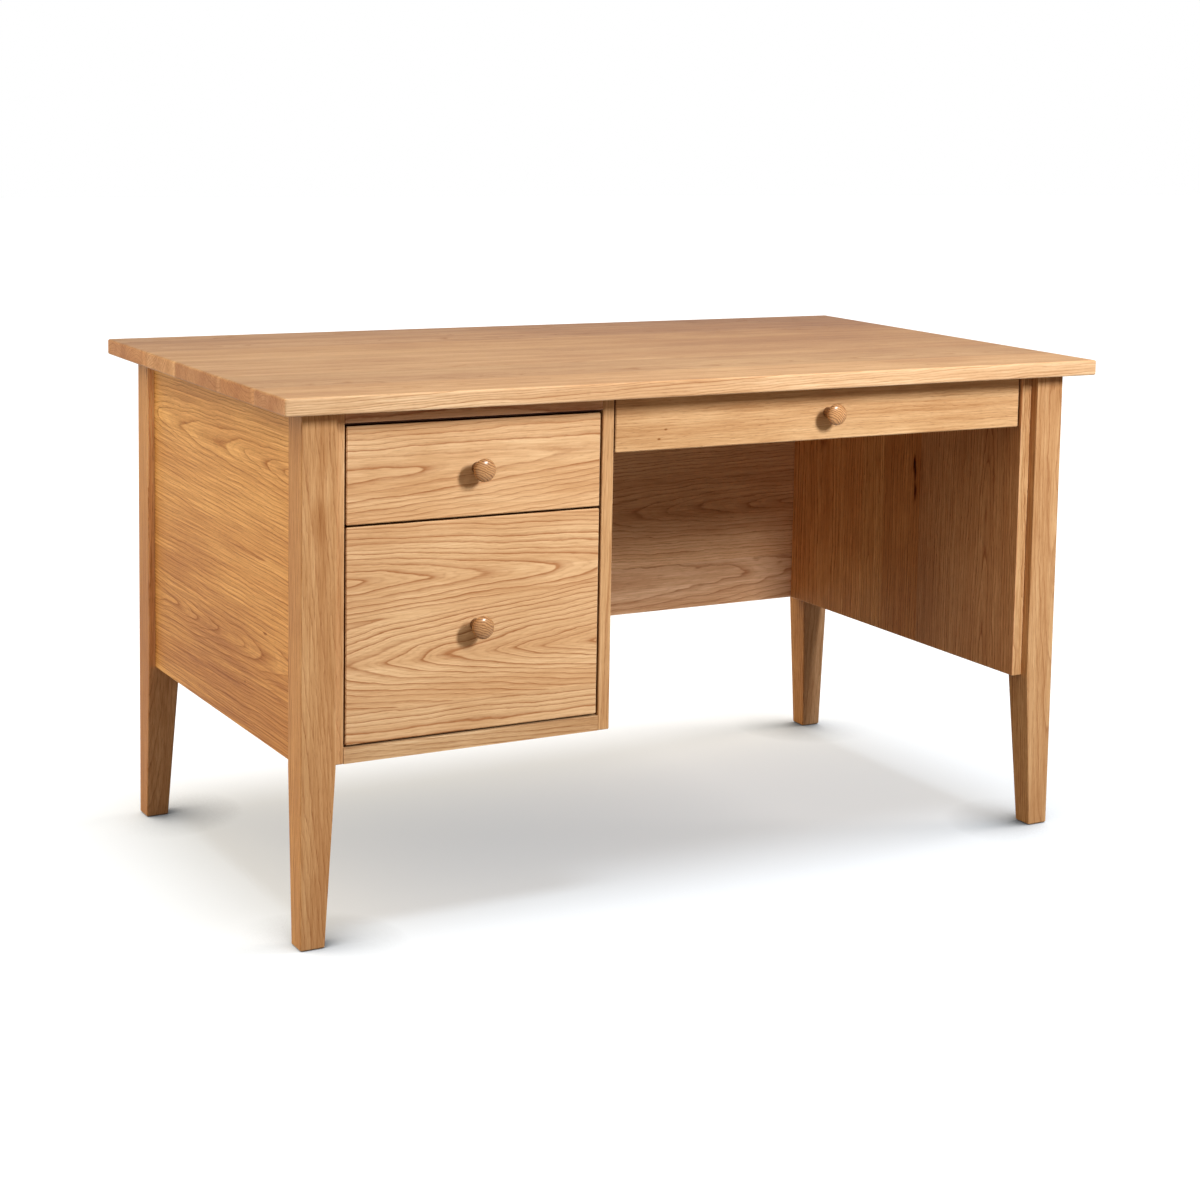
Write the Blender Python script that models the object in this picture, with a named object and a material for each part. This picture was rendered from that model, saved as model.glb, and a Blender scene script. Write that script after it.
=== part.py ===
"""Executive desk: an oak top on tapered legs, one pedestal, a kneehole and three drawers.

Metres. +X points to the sitter's right, +Y to the back and +Z up. The origin lies on the floor
under the middle of the top. Each drawer box is dovetailed and runs on a pair of telescopic slides.
"""

import math

import bmesh
import bpy
from mathutils import Matrix, Vector

# Top
DESK_HEIGHT = 0.762
TOP_WIDTH = 1.354
TOP_DEPTH = 0.788
TOP_THICKNESS = 0.024
TOP_ARRIS = 0.003
TOP_ARRIS_STEPS = 3
END_OVERHANG = 0.037
FRONT_OVERHANG = 0.037
BACK_OVERHANG = 0.037

# Legs, tapered on their two inner faces below the case
LEG_SIZE = 0.050
FOOT_SIZE = 0.035
LEG_ARRIS = 0.0015
ARRIS_STEPS = 2
FOOT_CHAMFER = 0.002

# Case panels and boards
CASE_UNDERSIDE = 0.248
CASE_SETBACK = 0.0195
KNEEHOLE_SETBACK = 0.0155
PANEL_THICKNESS = 0.018
PANEL_RECESS = 0.010
BACK_RECESS = 0.014
TONGUE_THICKNESS = 0.008
TONGUE_LENGTH = 0.010
SIDE_THICKNESS = 0.018
PEDESTAL_OPENING = 0.392
PEDESTAL_BOTTOM_THICKNESS = 0.022
HOUSING_DEPTH = 0.006
HOUSING_STOP = 0.020
RAIL_THICKNESS = 0.022
RAIL_DEPTH = 0.070
CLEAT_HEIGHT = 0.022
BACK_CLEAT_DEPTH = 0.022
BOARD_ARRIS = 0.001

# Drawer fronts, set into the case with an even reveal
FRONT_THICKNESS = 0.019
FRONT_INSET = 0.001
FRONT_REVEAL = 0.003
FRONT_ARRIS = 0.0015
BOX_FRONT_HEIGHT = 0.135
CENTRE_FRONT_HEIGHT = 0.0815

# Dovetailed drawer boxes
BOX_BACK_SPACE = 0.0859
BOX_WALL = 0.0125
BOX_LIFT = 0.010
BOX_DROP = 0.016
BOTTOM_THICKNESS = 0.006
GROOVE_DEPTH = 0.006
GROOVE_HEIGHT = 0.010
TAIL_PITCH = 0.034
MIN_TAIL_COUNT = 2
PIN_WIDTH = 0.008
TAIL_RUN_PER_RISE = 7.0

# Telescopic slides, folded from sheet steel
SLIDE_SPACE = 0.0127
SLIDE_HEIGHT = 0.045
SLIDE_SETBACK = 0.003
SLIDE_SHEET = 0.0012
SLIDE_LIP = 0.003
SLIDE_OUTER_DEPTH = 0.010
SLIDE_RUNNING_GAP = 0.0004
SLIDE_MIDDLE_SHORTER = 0.015

# Turned knobs and the machine screws that hold them
KNOB_DIAMETER = 0.033
KNOB_WIDEST_HEIGHT = 0.0245
KNOB_PROJECTION = 0.0345
KNOB_NECK_DIAMETER = 0.019
KNOB_NECK_HEIGHT = 0.015
KNOB_WAIST_DIAMETER = 0.0155
KNOB_WAIST_HEIGHT = 0.006
KNOB_BASE_DIAMETER = 0.017
KNOB_BORE_DEPTH = 0.016
SCREW_DIAMETER = 0.004
SCREW_HEAD_DIAMETER = 0.008
SCREW_HEAD_HEIGHT = 0.0028
SCREW_CROWN_DIAMETER = 0.0056
SCREW_ENGAGEMENT = 0.014
SCREW_HOLE_DIAMETER = 0.005
ROUND_STEPS = 32
SCREW_STEPS = 16
DOME_STEPS = 7
UNDERSIDE_STEPS = 4

# Gap left where two pieces seat on each other
SEAT_GAP = 0.0003
# How far a cutter reaches past the face that it opens
CUT_MARGIN = 0.002
# Points of a turned piece that meet on its axis are welded within this distance
WELD_DISTANCE = 1e-6
# A bevel of this profile is a round arc
ROUND_PROFILE = 0.5
# Turned surfaces are shaded smooth up to this angle between faces
SMOOTH_ANGLE = math.radians(40)

# Places that follow from the sizes above
LEG_OUTER_X = TOP_WIDTH / 2 - END_OVERHANG
LEG_INNER_X = LEG_OUTER_X - LEG_SIZE
LEG_FRONT_Y = FRONT_OVERHANG - TOP_DEPTH / 2
LEG_BACK_Y = TOP_DEPTH / 2 - BACK_OVERHANG
CASE_TOP = DESK_HEIGHT - TOP_THICKNESS - SEAT_GAP
CASE_FRONT_Y = LEG_FRONT_Y + CASE_SETBACK
KNEEHOLE_FRONT_Y = LEG_FRONT_Y + KNEEHOLE_SETBACK
PANEL_FRONT_Y = LEG_FRONT_Y + LEG_SIZE + SEAT_GAP
PANEL_BACK_Y = LEG_BACK_Y - LEG_SIZE - SEAT_GAP
PANEL_OUTER_X = LEG_OUTER_X - PANEL_RECESS
PANEL_INNER_X = PANEL_OUTER_X - PANEL_THICKNESS
BACK_PANEL_BACK_Y = LEG_BACK_Y - BACK_RECESS
BACK_PANEL_FRONT_Y = BACK_PANEL_BACK_Y - PANEL_THICKNESS
CASE_BACK_Y = BACK_PANEL_FRONT_Y - SEAT_GAP
SIDE_OUTER_X = LEG_INNER_X - SEAT_GAP
SIDE_INNER_X = SIDE_OUTER_X - SIDE_THICKNESS
PARTITION_LEFT_X = PEDESTAL_OPENING - SIDE_INNER_X
PARTITION_RIGHT_X = PARTITION_LEFT_X + SIDE_THICKNESS
PEDESTAL_FLOOR_Z = CASE_UNDERSIDE + PEDESTAL_BOTTOM_THICKNESS
RAIL_UNDERSIDE_Z = CASE_TOP - RAIL_THICKNESS
TONGUE_SHOULDER = (PANEL_THICKNESS - TONGUE_THICKNESS) / 2
BOX_FRONT_Y = CASE_FRONT_Y + FRONT_INSET + FRONT_THICKNESS + SEAT_GAP
BOX_DEPTH = CASE_BACK_Y - BOX_BACK_SPACE - BOX_FRONT_Y
SLIDE_LENGTH = BOX_DEPTH - 2 * SLIDE_SETBACK

# Finishes: linear colour, roughness, metallic
OAK = ((0.66, 0.39, 0.19), 0.42, 0.0)
DRAWER_WOOD = ((0.78, 0.60, 0.40), 0.50, 0.0)
PLYWOOD = ((0.72, 0.56, 0.38), 0.55, 0.0)
STEEL = ((0.62, 0.62, 0.63), 0.32, 1.0)


def clear_scene():
    """Removes whatever the file held before."""
    for item in list(bpy.data.objects):
        bpy.data.objects.remove(item, do_unlink=True)


def joint_frame(name, location=(0.0, 0.0, 0.0)):
    """Empty that carries the pieces of one moving body."""
    frame = bpy.data.objects.new(name, None)
    frame.location = location
    bpy.context.collection.objects.link(frame)
    return frame


def solid(name, shape):
    """Turns a bmesh into a named object whose origin is in the middle of its box."""
    bmesh.ops.recalc_face_normals(shape, faces=shape.faces)
    corners = [vert.co for vert in shape.verts]
    low = Vector([min(corner[axis] for corner in corners) for axis in range(3)])
    high = Vector([max(corner[axis] for corner in corners) for axis in range(3)])
    middle = (low + high) / 2
    bmesh.ops.translate(shape, vec=-middle, verts=shape.verts)
    mesh = bpy.data.meshes.new(name)
    shape.to_mesh(mesh)
    shape.free()
    piece = bpy.data.objects.new(name, mesh)
    piece.location = middle
    bpy.context.collection.objects.link(piece)
    return piece


def finish(piece, look, parent):
    """Gives a piece its own material and hangs it on the body that carries it."""
    colour, roughness, metallic = look
    material = bpy.data.materials.new(piece.name)
    material.use_nodes = True
    shader = material.node_tree.nodes["Principled BSDF"]
    shader.inputs["Base Color"].default_value = (*colour, 1.0)
    shader.inputs["Roughness"].default_value = roughness
    shader.inputs["Metallic"].default_value = metallic
    piece.data.materials.clear()
    piece.data.materials.append(material)
    piece.parent = parent


def cut(piece, cutter):
    """Takes the cutter's volume out of a piece and removes the cutter."""
    modifier = piece.modifiers.new("cut", "BOOLEAN")
    modifier.operation = "DIFFERENCE"
    modifier.solver = "EXACT"
    modifier.object = cutter
    graph = bpy.context.evaluated_depsgraph_get()
    whole = piece.data
    result = bpy.data.meshes.new_from_object(piece.evaluated_get(graph))
    result.name = piece.name
    piece.modifiers.remove(modifier)
    piece.data = result
    bpy.data.meshes.remove(whole)
    bpy.data.objects.remove(cutter, do_unlink=True)


def block(low, high):
    """Rectangular solid between two corners."""
    low = Vector(low)
    high = Vector(high)
    shape = bmesh.new()
    bmesh.ops.create_cube(shape, size=1.0)
    bmesh.ops.scale(shape, vec=high - low, verts=shape.verts)
    bmesh.ops.translate(shape, vec=(low + high) / 2, verts=shape.verts)
    return shape


def ease(shape, edges, radius, segments=1):
    """Breaks edges with a chamfer, or rounds them over several segments."""
    bmesh.ops.recalc_face_normals(shape, faces=shape.faces)
    bmesh.ops.bevel(shape, geom=edges, offset=radius, offset_type="OFFSET", segments=segments,
                    profile=ROUND_PROFILE, affect="EDGES", clamp_overlap=True)


def board(name, low, high, arris=BOARD_ARRIS):
    """Board between two corners with its edges lightly broken."""
    shape = block(low, high)
    ease(shape, list(shape.edges), arris)
    return solid(name, shape)


def lift(point, axis, along):
    """Puts a flat point into space; its two numbers are the other axes in X, Y, Z order."""
    values = list(point)
    values.insert("XYZ".index(axis), along)
    return Vector(values)


def add_prism(shape, outline, axis, start, end):
    """Adds an outline swept along an axis to a bmesh."""
    ring = [shape.verts.new(lift(point, axis, start)) for point in outline]
    face = shape.faces.new(ring)
    swept = bmesh.ops.extrude_face_region(shape, geom=[face])
    moved = [item for item in swept["geom"] if isinstance(item, bmesh.types.BMVert)]
    bmesh.ops.translate(shape, vec=lift((0.0, 0.0), axis, end - start), verts=moved)


def prism(outline, axis, start, end):
    """Solid made by sweeping one outline along an axis."""
    shape = bmesh.new()
    add_prism(shape, outline, axis, start, end)
    return shape


def revolve(profile, steps):
    """Turns a profile of (radius, distance towards the front) about a line along Y."""
    shape = bmesh.new()
    verts = [shape.verts.new((radius, -forward, 0.0)) for radius, forward in profile]
    edges = [shape.edges.new(pair) for pair in zip(verts, verts[1:])]
    bmesh.ops.spin(shape, geom=verts + edges, cent=(0, 0, 0), axis=(0, 1, 0), dvec=(0, 0, 0),
                   angle=math.tau, steps=steps, use_merge=True)
    bmesh.ops.remove_doubles(shape, verts=shape.verts, dist=WELD_DISTANCE)
    return shape


def turned(name, profile, steps, location):
    """Round piece, shaded smooth apart from its true corners."""
    shape = revolve(profile, steps)
    bmesh.ops.translate(shape, vec=location, verts=shape.verts)
    piece = solid(name, shape)
    piece.data.shade_smooth()
    piece.data.set_sharp_from_angle(angle=SMOOTH_ANGLE)
    return piece


def desk_top(parent):
    """Edge-glued oak top with rounded edges."""
    half_x = TOP_WIDTH / 2
    half_y = TOP_DEPTH / 2
    shape = block((-half_x, -half_y, DESK_HEIGHT - TOP_THICKNESS), (half_x, half_y, DESK_HEIGHT))
    ease(shape, list(shape.edges), TOP_ARRIS, TOP_ARRIS_STEPS)
    finish(solid("desk_top", shape), OAK, parent)


def end_panel_groove(x_side, y_side):
    """Cutter for the groove that takes an end panel's tongue, from the leg's inner face."""
    x_near = x_side * (PANEL_OUTER_X - TONGUE_SHOULDER + SEAT_GAP)
    x_far = x_side * (PANEL_INNER_X + TONGUE_SHOULDER - SEAT_GAP)
    face = LEG_BACK_Y - LEG_SIZE if y_side > 0 else LEG_FRONT_Y + LEG_SIZE
    mouth = face - y_side * CUT_MARGIN
    floor = face + y_side * (TONGUE_LENGTH + SEAT_GAP)
    low = (min(x_near, x_far), min(mouth, floor), CASE_UNDERSIDE - SEAT_GAP)
    high = (max(x_near, x_far), max(mouth, floor), CASE_TOP + CUT_MARGIN)
    return solid("groove", block(low, high))


def back_panel_groove(x_side):
    """Cutter for the groove that takes the back panel's tongue."""
    mouth = x_side * (LEG_INNER_X - CUT_MARGIN)
    floor = x_side * (LEG_INNER_X + TONGUE_LENGTH + SEAT_GAP)
    y_low = BACK_PANEL_FRONT_Y + TONGUE_SHOULDER - SEAT_GAP
    y_high = BACK_PANEL_BACK_Y - TONGUE_SHOULDER + SEAT_GAP
    low = (min(mouth, floor), y_low, CASE_UNDERSIDE - SEAT_GAP)
    high = (max(mouth, floor), y_high, CASE_TOP + CUT_MARGIN)
    return solid("groove", block(low, high))


def rounded_square(x_low, x_high, y_low, y_high):
    """Plan of a square section whose corners are rounded by the leg's arris."""
    centres = ((x_high - LEG_ARRIS, y_high - LEG_ARRIS), (x_low + LEG_ARRIS, y_high - LEG_ARRIS),
               (x_low + LEG_ARRIS, y_low + LEG_ARRIS), (x_high - LEG_ARRIS, y_low + LEG_ARRIS))
    points = []
    for quarter, (x, y) in enumerate(centres):
        for step in range(ARRIS_STEPS + 1):
            angle = math.pi / 2 * (quarter + step / ARRIS_STEPS)
            points.append((x + LEG_ARRIS * math.cos(angle), y + LEG_ARRIS * math.sin(angle)))
    return points


def loft(sections):
    """Solid through a stack of (height, outline) sections with equal numbers of points."""
    shape = bmesh.new()
    rings = [[shape.verts.new((x, y, height)) for x, y in outline] for height, outline in sections]
    shape.faces.new(rings[0])
    shape.faces.new(rings[-1])
    for lower, upper in zip(rings, rings[1:]):
        for index in range(len(lower)):
            before = index - 1
            shape.faces.new((lower[before], lower[index], upper[index], upper[before]))
    return shape


def leg(name, x_side, y_side, parent):
    """Square leg lofted down to a smaller foot, its outer faces straight."""
    outer_x = x_side * LEG_OUTER_X
    outer_y = LEG_BACK_Y if y_side > 0 else LEG_FRONT_Y
    sections = []
    for height, size, inset in ((0.0, FOOT_SIZE, FOOT_CHAMFER), (FOOT_CHAMFER, FOOT_SIZE, 0.0),
                                (CASE_UNDERSIDE, LEG_SIZE, 0.0), (CASE_TOP, LEG_SIZE, 0.0)):
        inner_x = outer_x - x_side * size
        inner_y = outer_y - y_side * size
        outline = rounded_square(min(outer_x, inner_x) + inset, max(outer_x, inner_x) - inset,
                                 min(outer_y, inner_y) + inset, max(outer_y, inner_y) - inset)
        sections.append((height, outline))
    piece = solid(name, loft(sections))
    cut(piece, end_panel_groove(x_side, y_side))
    if y_side > 0:
        cut(piece, back_panel_groove(x_side))
    finish(piece, OAK, parent)


def tongued_outline(low, high, near, far):
    """Plan of a panel with a centred tongue on both ends: low and high are its shoulders."""
    tongue_near = near + math.copysign(TONGUE_SHOULDER, far - near)
    tongue_far = far - math.copysign(TONGUE_SHOULDER, far - near)
    tip_low = low - TONGUE_LENGTH + SEAT_GAP
    tip_high = high + TONGUE_LENGTH - SEAT_GAP
    return [(low, near), (low, tongue_near), (tip_low, tongue_near), (tip_low, tongue_far),
            (low, tongue_far), (low, far), (high, far), (high, tongue_far),
            (tip_high, tongue_far), (tip_high, tongue_near), (high, tongue_near), (high, near)]


def end_panel(name, x_side, parent):
    """Panel tongued into the two legs of one end."""
    plan = tongued_outline(PANEL_FRONT_Y, PANEL_BACK_Y, x_side * PANEL_INNER_X, x_side * PANEL_OUTER_X)
    shape = prism([(x, y) for y, x in plan], "Z", CASE_UNDERSIDE, CASE_TOP)
    finish(solid(name, shape), OAK, parent)


def back_panel(parent):
    """Panel tongued into the two back legs."""
    plan = tongued_outline(-SIDE_OUTER_X, SIDE_OUTER_X, BACK_PANEL_FRONT_Y, BACK_PANEL_BACK_Y)
    shape = prism(plan, "Z", CASE_UNDERSIDE, CASE_TOP)
    finish(solid("back_panel", shape), OAK, parent)


def bottom_housing(face_x, x_side):
    """Cutter for the stopped housing that carries one edge of the pedestal bottom."""
    mouth = face_x - x_side * CUT_MARGIN
    floor = face_x + x_side * HOUSING_DEPTH
    low = (min(mouth, floor), CASE_FRONT_Y + HOUSING_STOP, CASE_UNDERSIDE - CUT_MARGIN)
    high = (max(mouth, floor), CASE_BACK_Y + CUT_MARGIN, PEDESTAL_FLOOR_Z + SEAT_GAP)
    return solid("housing", block(low, high))


def case_side(name, x_low, y_low, housing_x, housing_side, parent):
    """Upright board of the case; one with a housing carries the pedestal bottom."""
    low = (x_low, y_low, CASE_UNDERSIDE)
    high = (x_low + SIDE_THICKNESS, CASE_BACK_Y, CASE_TOP)
    piece = board(name, low, high)
    if housing_side:
        cut(piece, bottom_housing(housing_x, housing_side))
    finish(piece, OAK, parent)


def pedestal_bottom(parent):
    """Board that closes the pedestal below, notched round the front of its two housings."""
    face_left = SEAT_GAP - SIDE_INNER_X
    face_right = PARTITION_LEFT_X - SEAT_GAP
    reach = HOUSING_DEPTH - SEAT_GAP
    shoulder = CASE_FRONT_Y + HOUSING_STOP + SEAT_GAP
    plan = [(face_left, CASE_FRONT_Y), (face_right, CASE_FRONT_Y), (face_right, shoulder),
            (face_right + reach, shoulder), (face_right + reach, CASE_BACK_Y),
            (face_left - reach, CASE_BACK_Y), (face_left - reach, shoulder), (face_left, shoulder)]
    shape = prism(plan, "Z", CASE_UNDERSIDE, PEDESTAL_FLOOR_Z)
    finish(solid("pedestal_bottom", shape), OAK, parent)


def top_rails(parent):
    """Two rails that tie the pedestal sides together under the top."""
    x_low = SEAT_GAP - SIDE_INNER_X
    x_high = PARTITION_LEFT_X - SEAT_GAP
    fronts = {"pedestal_top_rail_front": CASE_FRONT_Y,
              "pedestal_top_rail_back": CASE_BACK_Y - RAIL_DEPTH}
    for name, y_low in fronts.items():
        rail = board(name, (x_low, y_low, RAIL_UNDERSIDE_Z), (x_high, y_low + RAIL_DEPTH, CASE_TOP))
        finish(rail, OAK, parent)


def top_cleats(parent):
    """Cleats that the top is screwed to, between the double ends and along the back."""
    z_low = CASE_TOP - CLEAT_HEIGHT
    x_near = SIDE_OUTER_X + SEAT_GAP
    x_far = PANEL_INNER_X - SEAT_GAP
    for name, x_side in (("top_cleat_left", -1), ("top_cleat_right", 1)):
        low_x = min(x_side * x_near, x_side * x_far)
        high_x = max(x_side * x_near, x_side * x_far)
        cleat = board(name, (low_x, PANEL_FRONT_Y, z_low), (high_x, PANEL_BACK_Y, CASE_TOP))
        finish(cleat, DRAWER_WOOD, parent)
    low = (PARTITION_RIGHT_X + SEAT_GAP, CASE_BACK_Y - BACK_CLEAT_DEPTH, z_low)
    high = (SIDE_INNER_X - SEAT_GAP, CASE_BACK_Y, CASE_TOP)
    finish(board("top_cleat_back", low, high), DRAWER_WOOD, parent)


def fixed_case(parent):
    """Everything that stands still: top, legs, panels, boards and cleats."""
    desk_top(parent)
    for y_name, y_side in (("front", -1), ("back", 1)):
        for x_name, x_side in (("left", -1), ("right", 1)):
            leg(f"leg_{y_name}_{x_name}", x_side, y_side, parent)
    end_panel("end_panel_left", -1, parent)
    end_panel("end_panel_right", 1, parent)
    back_panel(parent)
    case_side("pedestal_side_left", -SIDE_OUTER_X, CASE_FRONT_Y, -SIDE_INNER_X, -1, parent)
    case_side("pedestal_side_right", PARTITION_LEFT_X, CASE_FRONT_Y, PARTITION_LEFT_X, 1, parent)
    case_side("kneehole_side_right", SIDE_INNER_X, KNEEHOLE_FRONT_Y, None, 0, parent)
    pedestal_bottom(parent)
    top_rails(parent)
    top_cleats(parent)


def tails(low, high, end_y, inward, clearance):
    """Dovetails along a board's end, as outlines in Y and Z that widen towards the end."""
    count = max(MIN_TAIL_COUNT, round((high - low) / TAIL_PITCH))
    pitch = (high - low) / count
    depth = BOX_WALL + SEAT_GAP
    half_end = (pitch - PIN_WIDTH) / 2 + clearance
    half_root = half_end - depth / TAIL_RUN_PER_RISE
    root_y = end_y + inward * depth
    middles = [low + pitch * (index + 0.5) for index in range(count)]
    return [[(root_y, middle - half_root), (end_y, middle - half_end),
             (end_y, middle + half_end), (root_y, middle + half_root)] for middle in middles]


def tail_cutter(low, high, end_y, inward, x_from, x_to):
    """Cutter for the sockets between the pins of a drawer's front or back."""
    shape = bmesh.new()
    past = end_y - inward * CUT_MARGIN
    for root, end_low, end_high, root_high in tails(low, high, end_y, inward, SEAT_GAP):
        slope = CUT_MARGIN / TAIL_RUN_PER_RISE
        outline = [root, (past, end_low[1] - slope), (past, end_high[1] + slope), root_high]
        add_prism(shape, outline, "X", x_from, x_to)
    return solid("sockets", shape)


class Drawer:
    """Sizes of one drawer in its own frame: X from its middle, Y from the case front, Z from its front."""

    def __init__(self, name, x_low, x_high, z_low, z_high):
        self.name = name
        self.half_opening = (x_high - x_low) / 2
        self.origin = Vector(((x_low + x_high) / 2, CASE_FRONT_Y, z_low))
        self.height = z_high - z_low
        self.box_half = self.half_opening - SLIDE_SPACE
        self.box_y = BOX_FRONT_Y - CASE_FRONT_Y
        self.box_end_y = self.box_y + BOX_DEPTH
        self.box_low = BOX_LIFT
        self.box_high = self.height - BOX_DROP
        self.floor_low = self.box_low + GROOVE_HEIGHT
        self.floor_high = self.floor_low + BOTTOM_THICKNESS
        self.back_low = self.floor_high + SEAT_GAP
        self.slide_z = (self.box_low + self.box_high) / 2
        self.slide_y = FRONT_INSET + FRONT_THICKNESS + SLIDE_SETBACK


def screw_hole(drawer):
    """Cutter for the hole through the drawer front and the front of its box."""
    shape = bmesh.new()
    reach = FRONT_THICKNESS + BOX_WALL + 4 * CUT_MARGIN
    bmesh.ops.create_cone(shape, cap_ends=True, segments=SCREW_STEPS, radius1=SCREW_HOLE_DIAMETER / 2,
                          radius2=SCREW_HOLE_DIAMETER / 2, depth=reach)
    bmesh.ops.rotate(shape, cent=(0, 0, 0), matrix=Matrix.Rotation(math.pi / 2, 3, "X"), verts=shape.verts)
    bmesh.ops.translate(shape, vec=(0.0, drawer.box_y, drawer.height / 2), verts=shape.verts)
    return solid("screw_hole", shape)


def drawer_front(drawer, parent):
    """Oak front that fills the opening inside its reveal."""
    half = drawer.half_opening - FRONT_REVEAL
    low = (-half, FRONT_INSET, 0.0)
    high = (half, FRONT_INSET + FRONT_THICKNESS, drawer.height)
    front = board(f"{drawer.name}_drawer_front", low, high, FRONT_ARRIS)
    cut(front, screw_hole(drawer))
    finish(front, OAK, parent)


def floor_groove(drawer):
    """Cutter for the groove round the drawer floor; it runs out under the back."""
    half = drawer.box_half - BOX_WALL + GROOVE_DEPTH
    low = (-half, drawer.box_y + BOX_WALL - GROOVE_DEPTH, drawer.floor_low - SEAT_GAP)
    high = (half, drawer.box_end_y + CUT_MARGIN, drawer.floor_high + SEAT_GAP)
    return solid("floor_groove", block(low, high))


def box_side(drawer, side_name, x_side, parent):
    """Drawer side with tails on both ends and a groove for the floor."""
    end = drawer.box_end_y
    shoulder_front = drawer.box_y + BOX_WALL + SEAT_GAP
    shoulder_back = end - BOX_WALL - SEAT_GAP
    outline = [(shoulder_front, drawer.box_low)]
    for tail in tails(drawer.box_low, drawer.box_high, drawer.box_y, 1, 0.0):
        outline.extend(tail)
    outline.append((shoulder_front, drawer.box_high))
    outline.append((shoulder_back, drawer.box_high))
    for tail in reversed(tails(drawer.back_low, drawer.box_high, end, -1, 0.0)):
        outline.extend(reversed(tail))
    outline.append((shoulder_back, drawer.floor_high))
    outline.append((end, drawer.floor_high))
    outline.append((end, drawer.box_low))
    x_outer = x_side * drawer.box_half
    x_inner = x_side * (drawer.box_half - BOX_WALL)
    shape = prism(outline, "X", x_outer, x_inner)
    side = solid(f"{drawer.name}_drawer_side_{side_name}", shape)
    cut(side, floor_groove(drawer))
    finish(side, DRAWER_WOOD, parent)


def cut_sockets(piece, drawer, low, end_y, inward):
    """Leaves dovetail pins on both ends of a drawer's front or back."""
    outside = drawer.box_half + CUT_MARGIN
    inside = drawer.box_half - BOX_WALL - SEAT_GAP
    cut(piece, tail_cutter(low, drawer.box_high, end_y, inward, -outside, -inside))
    cut(piece, tail_cutter(low, drawer.box_high, end_y, inward, inside, outside))


def box_front(drawer, parent):
    """Pinned front of the drawer box, behind the oak front."""
    shape = block((-drawer.box_half, drawer.box_y, drawer.box_low),
                  (drawer.box_half, drawer.box_y + BOX_WALL, drawer.box_high))
    piece = solid(f"{drawer.name}_drawer_box_front", shape)
    cut_sockets(piece, drawer, drawer.box_low, drawer.box_y, 1)
    cut(piece, floor_groove(drawer))
    cut(piece, screw_hole(drawer))
    finish(piece, DRAWER_WOOD, parent)


def box_back(drawer, parent):
    """Pinned back of the drawer box, which stops above the floor."""
    shape = block((-drawer.box_half, drawer.box_end_y - BOX_WALL, drawer.back_low),
                  (drawer.box_half, drawer.box_end_y, drawer.box_high))
    piece = solid(f"{drawer.name}_drawer_back", shape)
    cut_sockets(piece, drawer, drawer.back_low, drawer.box_end_y, -1)
    finish(piece, DRAWER_WOOD, parent)


def box_floor(drawer, parent):
    """Plywood floor that slides into the groove from behind."""
    half = drawer.box_half - BOX_WALL + GROOVE_DEPTH - SEAT_GAP
    y_low = drawer.box_y + BOX_WALL - GROOVE_DEPTH + SEAT_GAP
    shape = block((-half, y_low, drawer.floor_low), (half, drawer.box_end_y, drawer.floor_high))
    finish(solid(f"{drawer.name}_drawer_bottom", shape), PLYWOOD, parent)


def knob_profile():
    """Half outline of the knob, from the bottom of its bore round to the crown."""
    widest = KNOB_DIAMETER / 2
    neck = KNOB_NECK_DIAMETER / 2
    bore = SCREW_DIAMETER / 2 + SEAT_GAP
    turn = math.acos(neck / widest)
    drop = (KNOB_WIDEST_HEIGHT - KNOB_NECK_HEIGHT) / math.sin(turn)
    rise = KNOB_PROJECTION - KNOB_WIDEST_HEIGHT
    profile = [(0.0, KNOB_BORE_DEPTH), (bore, KNOB_BORE_DEPTH), (bore, 0.0), (KNOB_BASE_DIAMETER / 2, 0.0),
               (KNOB_WAIST_DIAMETER / 2, KNOB_WAIST_HEIGHT)]
    for step in range(UNDERSIDE_STEPS):
        angle = turn * (1.0 - step / UNDERSIDE_STEPS)
        profile.append((widest * math.cos(angle), KNOB_WIDEST_HEIGHT - drop * math.sin(angle)))
    for step in range(DOME_STEPS):
        angle = math.pi / 2 * step / DOME_STEPS
        profile.append((widest * math.cos(angle), KNOB_WIDEST_HEIGHT + rise * math.sin(angle)))
    profile.append((0.0, KNOB_PROJECTION))
    return profile


def screw_profile():
    """Half outline of a pan-head screw, from its tip to the crown of its head."""
    shank = SCREW_DIAMETER / 2
    head = SCREW_HEAD_DIAMETER / 2
    length = FRONT_THICKNESS + BOX_WALL + 3 * SEAT_GAP + SCREW_ENGAGEMENT
    return [(0.0, length), (shank, length), (shank, 0.0), (head, 0.0),
            (head, -SCREW_HEAD_HEIGHT / 2), (SCREW_CROWN_DIAMETER / 2, -SCREW_HEAD_HEIGHT),
            (0.0, -SCREW_HEAD_HEIGHT)]


def knob_and_screw(drawer, parent):
    """Turned knob in the middle of the front, drawn up by a screw from inside the box."""
    seat = Vector((0.0, FRONT_INSET - SEAT_GAP, drawer.height / 2))
    knob = turned(f"{drawer.name}_drawer_knob", knob_profile(), ROUND_STEPS, seat)
    finish(knob, OAK, parent)
    head_seat = Vector((0.0, drawer.box_y + BOX_WALL + SEAT_GAP, drawer.height / 2))
    screw = turned(f"{drawer.name}_drawer_knob_screw", screw_profile(), SCREW_STEPS, head_seat)
    finish(screw, STEEL, parent)


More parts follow.
